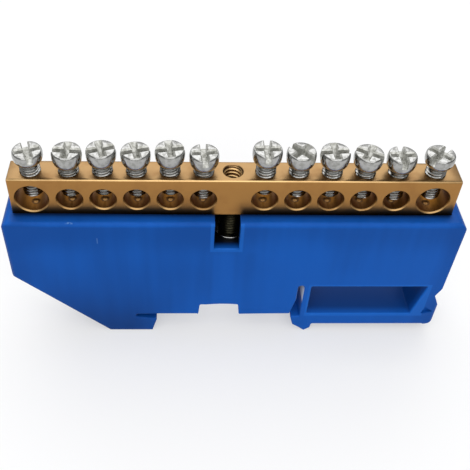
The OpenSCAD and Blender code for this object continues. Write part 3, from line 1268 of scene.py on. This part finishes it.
@dataclass
class TappedBar(SubAssembly):
    """Brass bar with its wire holes and the free thread in its middle."""

    finish: Finish = field(default_factory=DrawnBrass)
    edge: float = 0.14 * MM
    edge_segments: int = 2
    end_reach: float = 0.001 * MM
    thread: Thread = field(
        default_factory=lambda: Thread(pitch=0.9 * MM, crest_r=2.0 * MM, root_r=1.6 * MM)
    )
    over_tip: float = 0.15 * MM
    plug_r: float = 2.4 * MM
    plug_h: float = 1.0 * MM
    mouth: float = 0.06 * MM
    mouth_steps: int = 64
    ways: int = 12
    wire_axis: float = 4.1 * MM
    wire_r: float = 2.45 * MM
    end_wire_r: float = 3.15 * MM
    dimple_r: float = 0.72 * MM
    dimple_h: float = 0.42 * MM
    dimple_steps: int = 24
    sharp_deg: float = 32.0

    def build(self) -> None:
        """Copies the CAD bar, breaks its ends' edges, cuts the free thread and the drill points."""
        solid = Bench.copy_of("terminal_bar")
        self.break_ends(solid)
        _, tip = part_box("fixing_screw")
        _, bar_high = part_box("terminal_bar")
        middle = self.middle_of("fixing_screw")
        top = bar_high.z
        base = top - self.plug_h
        mouth_r = self.thread.crest_r + self.mouth
        plug = [(0, base), (self.plug_r, base), (self.plug_r, top), (0, top)]
        sink = [(0, top - mouth_r), (2 * mouth_r, top + mouth_r), (0, top + mouth_r)]
        tap = self.thread.rod(tip.z + self.over_tip, top + self.thread.pitch)
        tools = (
            (Bench.lathe(plug, self.mouth_steps), Cut.JOIN),
            (tap, Cut.REMOVE),
            (Bench.lathe(sink, self.mouth_steps), Cut.REMOVE),
        )
        for tool, cut in tools:
            bmesh.ops.translate(tool, verts=tool.verts, vec=(middle.x, middle.y, 0.0))
            solid = Bench.combine(solid, tool, cut)
        solid = Bench.combine(solid, self.drill_points(), Cut.REMOVE)
        Bench.smooth(solid, self.sharp_deg)
        brass = [self.finish.material()]
        self.piece("brass_bar", solid, brass, BASE_BODY, Slot.BRASS, "terminal_bar")

    def drill_points(self) -> bmesh.types.BMesh:
        """Cutter for the marks of the drill point on the floors of the wire holes.

        Returns:
            One cone under each terminal screw.
        """
        bar_low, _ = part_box("terminal_bar")
        brim = self.dimple_r / 2
        profile = [(0, -self.dimple_h), (self.dimple_r, 0), (self.dimple_r, brim), (0, brim)]
        cones = Bench.lathe(profile, self.dimple_steps)
        first = cones.verts[:]
        shape = first + cones.edges[:] + cones.faces[:]
        for number in range(1, self.ways + 1):
            middle = self.middle_of(f"terminal_screw_{number:02d}")
            radius = self.end_wire_r if number in (1, self.ways) else self.wire_r
            made = bmesh.ops.duplicate(cones, geom=shape)["geom"]
            corners = [part for part in made if isinstance(part, bmesh.types.BMVert)]
            place = (middle.x, middle.y, bar_low.z + self.wire_axis - radius)
            bmesh.ops.translate(cones, verts=corners, vec=place)
        bmesh.ops.delete(cones, geom=first, context="VERTS")
        return cones

    def break_ends(self, solid: bmesh.types.BMesh) -> None:
        """Rounds the sawn edges round both ends of the bar.

        Args:
            solid: The bar's mesh.
        """
        low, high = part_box("terminal_bar")
        ends = [
            edge
            for edge in solid.edges
            if all(min(v.co.x - low.x, high.x - v.co.x) < self.end_reach for v in edge.verts)
        ]
        bmesh.ops.bevel(
            solid,
            geom=ends,
            offset=self.edge,
            affect="EDGES",
            segments=self.edge_segments,
            profile=0.5,
            material=-1,
        )


@dataclass
class CombinationScrew:
    """Screw whose bowl-shaped head has a slot and a cross in it.

    Shares of the head's side are shares of its radius, and for the belly of its height.
    """

    length: float
    head_r: float = 2.9 * MM
    head_h: float = 2.2 * MM
    skirt: float = 0.55 * MM
    foot_share: float = 0.64
    belly_share: float = 0.68
    rim_share: float = 0.885
    swell: float = 2.15
    bowl_steps: int = 7
    rim_steps: int = 5
    neck: float = 0.35 * MM
    neck_round: float = 0.12 * MM
    slot_w: float = 1.15 * MM
    slot_h: float = 1.2 * MM
    slot_reach: float = 3.0
    arm_w: float = 1.0 * MM
    arm_floor_w: float = 0.7 * MM
    arm_span: float = 4.4 * MM
    arm_floor_span: float = 1.6 * MM
    arm_h: float = 1.6 * MM
    lip: float = 0.28 * MM
    tip_chamfer: float = 0.5 * MM
    steps: int = 72
    sharp_deg: float = 38.0
    side_normal: float = 0.1
    top_normal: float = 0.95
    top_reach: float = 0.01 * MM
    thread: Thread = field(default_factory=Thread)

    def head(self) -> bmesh.types.BMesh:
        """Turned head with its seat at height 0, its rounded skirt and its neck.

        Returns:
            A closed solid.
        """
        foot = -self.skirt
        height = self.head_h + self.skirt
        neck_r = self.thread.root_r
        profile = [
            (0.0, foot - self.neck),
            (neck_r, foot - self.neck),
            (neck_r, foot - self.neck_round),
            (neck_r + self.neck_round, foot),
            *((self.head_r * out, foot + height * up) for out, up in self.barrel()),
            (0.0, self.head_h),
        ]
        return Bench.lathe(profile, self.steps)

    def barrel(self) -> list[Point]:
        """Outline of the head's side: a full bowl up to its belly and a rounded rim above it.

        Returns:
            Points as shares of the head's radius and height, from the foot up.
        """
        points = []
        for step in range(self.bowl_steps + 1):
            turn = math.pi / 2 * step / self.bowl_steps
            out = math.sin(turn) ** (2 / self.swell)
            down = abs(math.cos(turn)) ** (2 / self.swell)
            points.append((self.foot_share + (1 - self.foot_share) * out, self.belly_share * (1 - down)))
        for step in range(1, self.rim_steps + 1):
            turn = math.pi / 2 * step / self.rim_steps
            out = self.rim_share + (1 - self.rim_share) * math.cos(turn)
            points.append((out, self.belly_share + (1 - self.belly_share) * math.sin(turn)))
        return points

    def shank(self) -> bmesh.types.BMesh:
        """Threaded shank with a chamfered tip.

        Returns:
            A closed solid that ends inside the neck.
        """
        rod = self.thread.rod(-self.length, -self.skirt - self.neck / 2)
        tip_r = self.thread.crest_r - self.tip_chamfer
        for corner in rod.verts:
            radius = corner.co.xy.length
            limit = tip_r + corner.co.z + self.length
            if radius > limit:
                corner.co.xy *= limit / radius
        return rod

    def drive_blade(self, top: Point, floor: Point, depth: float) -> bmesh.types.BMesh:
        """Cutter for one groove of the drive, along Y, with its mouth flared.

        Args:
            top: Width and length of the groove below its flared mouth.
            floor: Width and length at its floor.
            depth: Depth from there to the floor.

        Returns:
            A closed solid.
        """
        width, span = top
        middle_z = self.head_h - self.lip - depth / 2
        blade = bmesh.new()
        bmesh.ops.create_cube(blade, size=1.0)
        bmesh.ops.scale(blade, vec=(width, span, depth), verts=blade.verts)
        bmesh.ops.translate(blade, vec=(0, 0, middle_z), verts=blade.verts)
        low = [corner for corner in blade.verts if corner.co.z < middle_z]
        bmesh.ops.scale(blade, vec=(floor[0] / width, floor[1] / span, 1.0), verts=low)
        mouth = [face for face in blade.faces if face.normal.z > self.top_normal]
        lifted = bmesh.ops.extrude_face_region(blade, geom=mouth)
        corners = [part for part in lifted["geom"] if isinstance(part, bmesh.types.BMVert)]
        bmesh.ops.delete(blade, geom=mouth, context="FACES_ONLY")
        flare = (1 + 4 * self.lip / width, 1 + 4 * self.lip / span, 1.0)
        bmesh.ops.translate(blade, vec=(0, 0, 2 * self.lip), verts=corners)
        bmesh.ops.scale(blade, vec=flare, verts=corners)
        Bench.close(blade)
        return blade

    def solid(self) -> bmesh.types.BMesh:
        """Whole screw, head up, with the CAD head's underside at height 0.

        Returns:
            A closed solid.
        """
        screw = Bench.combine(self.head(), self.shank(), Cut.JOIN)
        through = (self.slot_w, self.slot_reach * self.head_r)
        screw = Bench.combine(screw, self.drive_blade(through, through, self.slot_h), Cut.REMOVE)
        top, floor = (self.arm_w, self.arm_span), (self.arm_floor_w, self.arm_floor_span)
        for quarter in (0.0, math.pi / 2):
            arm = self.drive_blade(top, floor, self.arm_h)
            turn = Matrix.Rotation(quarter, 3, "Z")
            bmesh.ops.rotate(arm, cent=(0, 0, 0), matrix=turn, verts=arm.verts)
            screw = Bench.combine(screw, arm, Cut.REMOVE)
        Bench.smooth(screw, self.sharp_deg)
        self.mark_faces(screw)
        return screw

    def mark_faces(self, screw: bmesh.types.BMesh) -> None:
        """Numbers the materials of the faces: side and thread, drive, or top.

        Args:
            screw: The finished screw.
        """
        floor = self.head_h - self.arm_h - 2 * self.lip
        for face in screw.faces:
            middle = face.calc_center_median()
            outwards = face.normal.xy.dot(middle.xy) > self.side_normal * middle.xy.length
            if middle.z < floor or outwards:
                face.material_index = ScrewFace.SIDE.value
                continue
            flat = face.normal.z > self.top_normal and middle.z > self.head_h - self.top_reach
            face.material_index = ScrewFace.TOP.value if flat else ScrewFace.DRIVE.value


@dataclass
class TerminalScrews(SubAssembly):
    """Row of clamping screws, each backed out as the frame has it."""

    side_finish: Finish = field(default_factory=ZincPlate)
    drive_finish: Finish = field(default_factory=DriveWalls)
    top_finish: Finish = field(default_factory=StampedTop)
    turns_deg: Numbers = (19, 85, 107, 105, 100, 5, 0, 43, 95, 60, 0, 135)
    skirt: float = 1.15 * MM
    end_skirt: float = 0.55 * MM

    def build(self) -> None:
        """Makes one screw for the ends and one for the rest, and sets a copy in each way."""
        finishes = {
            ScrewFace.SIDE: self.side_finish,
            ScrewFace.DRIVE: self.drive_finish,
            ScrewFace.TOP: self.top_finish,
        }
        materials = [finishes[face].material() for face in ScrewFace]
        low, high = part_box("terminal_screw_01")
        length = high.z - low.z - CombinationScrew.head_h
        inner = CombinationScrew(length, skirt=self.skirt).solid()
        outer = CombinationScrew(length, skirt=self.end_skirt).solid()
        for number, turn in enumerate(self.turns_deg, start=1):
            node = f"terminal_screw_{number:02d}"
            name, body = f"clamp_screw_{number:02d}", f"screw_{number:02d}"
            _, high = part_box(node)
            middle = self.middle_of(node)
            copy = (outer if number in (1, len(self.turns_deg)) else inner).copy()
            spin = Matrix.Rotation(math.radians(turn), 4, "Z")
            seat = Matrix.Translation((middle.x, middle.y, high.z - CombinationScrew.head_h))
            bmesh.ops.transform(copy, matrix=seat @ spin, verts=copy.verts)
            self.piece(name, copy, materials, body, Slot.ZINC, node)
        inner.free()
        outer.free()


@dataclass
class Fixing(SubAssembly):
    """Screw and washer that pull the bar onto the holder."""

    finish: Finish = field(default_factory=FixingSteel)
    washer_finish: Finish = field(default_factory=lambda: ZincPlate(name="washer_zinc_plate"))
    washer_edge: float = 0.1 * MM
    washer_segments: int = 2
    washer_turn_rad: float = 0.9
    washer_sharp_deg: float = 30.0

    def build(self) -> None:
        """Sets the fixing screw and its washer."""
        self.screw()
        self.washer()

    def screw(self) -> None:
        """Sets the fixing screw head down."""
        low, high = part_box("fixing_screw")
        middle = self.middle_of("fixing_screw")
        shape = CombinationScrew(length=high.z - low.z - CombinationScrew.head_h)
        screw = shape.solid()
        over = Matrix.Rotation(math.pi, 4, "X")
        seat = Matrix.Translation((middle.x, middle.y, low.z + shape.head_h))
        bmesh.ops.transform(screw, matrix=seat @ over, verts=screw.verts)
        steel = [self.finish.material()] * len(ScrewFace)
        self.piece("holding_screw", screw, steel, BASE_BODY, Slot.FIXING, "fixing_screw")

    def washer(self) -> None:
        """Copies the CAD washer and rounds its edges."""
        washer = Bench.copy_of("fixing_washer")
        Bench.smooth(washer, self.washer_sharp_deg)
        Bench.weigh_edges(washer, self.washer_edge, self.turns_sharply)
        washer = Bench.rounded(washer, self.washer_edge, self.washer_segments)
        zinc = [self.washer_finish.material()]
        ring = self.piece("holding_washer", washer, zinc, BASE_BODY, Slot.ZINC, "fixing_washer")
        self.shade_evenly(ring)

    def turns_sharply(self, edge: bmesh.types.BMEdge) -> bool:
        """Tells whether an edge of the washer is one of its rims."""
        return edge.calc_face_angle(0.0) > self.washer_turn_rad


@dataclass(frozen=True)
class SoftBox:
    """A square soft box that faces the part, in metres and watts."""

    name: str
    place: tuple[float, float, float]
    size: float
    power: float

    def hang(self) -> None:
        """Adds the lamp to the scene."""
        light = bpy.data.lights.new(self.name, "AREA")
        light.size = self.size
        light.energy = self.power
        hung = bpy.data.objects.new(self.name, light)
        hung.location = self.place
        hung.rotation_euler = (-Vector(self.place)).to_track_quat("-Z", "Y").to_euler()
        bpy.context.scene.collection.objects.link(hung)


@dataclass
class Studio:
    """Floor, soft light and the camera."""

    floor_z: float
    floor_size: float = 6.0
    floor_finish: Finish = field(default_factory=PaleFloor)
    sky_colour: Colour = (1.0, 1.0, 1.0)
    sky: float = 0.35
    boxes: tuple[SoftBox, ...] = (
        SoftBox("back_box", (0.0, 0.30, 0.52), 0.8, 3.0),
        SoftBox("front_box", (0.0, -0.45, 0.45), 0.9, 3.6),
    )
    lens: float = 55.06
    sensor: float = 36.0
    eye: Numbers = mm(-7.73, -106.76, 126.20)
    yaw_deg: float = 2.861
    pitch_deg: float = 45.096
    roll_deg: float = 2.2
    axis_px: Point = (207.1, 235.0)
    clip: float = 1.0 * MM

    def build(self) -> None:
        """Sets up the whole studio."""
        self.floor()
        self.surroundings()
        for box in self.boxes:
            box.hang()
        self.camera()
        bpy.context.scene.view_settings.view_transform = "Standard"

    def floor(self) -> None:
        """Lays the pale floor."""
        sheet = bmesh.new()
        bmesh.ops.create_grid(sheet, x_segments=1, y_segments=1, size=self.floor_size / 2)
        bmesh.ops.translate(sheet, vec=(0, 0, self.floor_z), verts=sheet.verts)
        laid = Bench.holding("studio_floor", sheet)
        laid.data.materials.append(self.floor_finish.material())
        laid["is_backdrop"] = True

    def surroundings(self) -> None:
        """Even grey surroundings that light the part softly."""
        world = bpy.data.worlds.new("soft_surroundings")
        world.use_nodes = True
        bpy.context.scene.world = world
        recipe = Recipe(world.node_tree)
        sockets = {"Color": self.sky_colour, "Strength": self.sky}
        grey = recipe.value("ShaderNodeBackground", None, sockets)
        recipe.node("ShaderNodeOutputWorld", None, {"Surface": grey})

    def camera(self) -> None:
        """Sets the camera at the photograph's angle."""
        angles = (self.yaw_deg, self.pitch_deg, self.roll_deg)
        yaw, pitch, roll = (math.radians(angle) for angle in angles)
        level = math.cos(pitch)
        ahead = Vector((math.sin(yaw) * level, math.cos(yaw) * level, -math.sin(pitch)))
        right = Vector((math.cos(yaw), -math.sin(yaw), 0.0))
        up = right.cross(ahead)
        leaned = math.cos(roll) * right + math.sin(roll) * up
        risen = math.cos(roll) * up - math.sin(roll) * right
        turn = Matrix((leaned, risen, -ahead)).transposed()
        data = bpy.data.cameras.new("photo_camera")
        data.lens = self.lens
        data.sensor_width = self.sensor
        data.shift_x = 0.5 - self.axis_px[0] / IMAGE_PX
        data.shift_y = self.axis_px[1] / IMAGE_PX - 0.5
        data.clip_start = self.clip
        made = bpy.data.objects.new("photo_camera", data)
        made.matrix_world = Matrix.Translation(self.eye) @ turn.to_4x4()
        bpy.context.scene.collection.objects.link(made)
        bpy.context.scene.camera = made


def main() -> None:
    """Builds every piece and the studio."""
    logging.basicConfig(level=logging.INFO, format="%(name)s: %(message)s")
    cad_box = [list(corner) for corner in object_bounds()]
    RailHolder().build()
    TappedBar().build()
    TerminalScrews().build()
    Fixing().build()
    Studio(floor_z=cad_box[0][2]).build()


if __name__ == "__main__":
    main()
